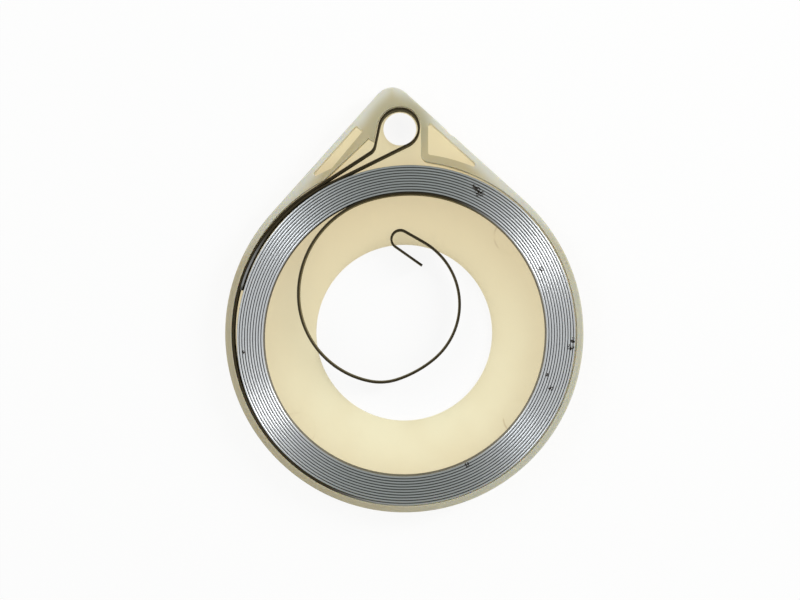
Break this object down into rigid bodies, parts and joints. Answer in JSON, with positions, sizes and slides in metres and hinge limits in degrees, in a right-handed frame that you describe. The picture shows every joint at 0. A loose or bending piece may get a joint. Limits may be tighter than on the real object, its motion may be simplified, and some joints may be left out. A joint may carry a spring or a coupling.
{
  "type": "recoil starter spring",
  "caption": "Spiral steel strip spring with an anchor eye and an inner hook, wound in a teardrop-shaped open nylon cassette for a pull-rope starter.",
  "frame": {"origin": "on the axis of the ring and its hub hole, at the cassette's underside", "axes": "+Z out of the cassette's open side, +Y from the ring's axis towards the tip with the eye, +X to the right of both"},
  "size_m": [0.083, 0.0984, 0.0085],
  "materials": {
    "nylon": "natural, slightly see-through nylon with a soft sheen",
    "spring_steel": "bright rolled strip with rounded edges, darker on its faces"
  },
  "bodies": {
    "root": {"cassette": "nylon", "coil_spring": "spring_steel"}
  },
  "joints": []
}
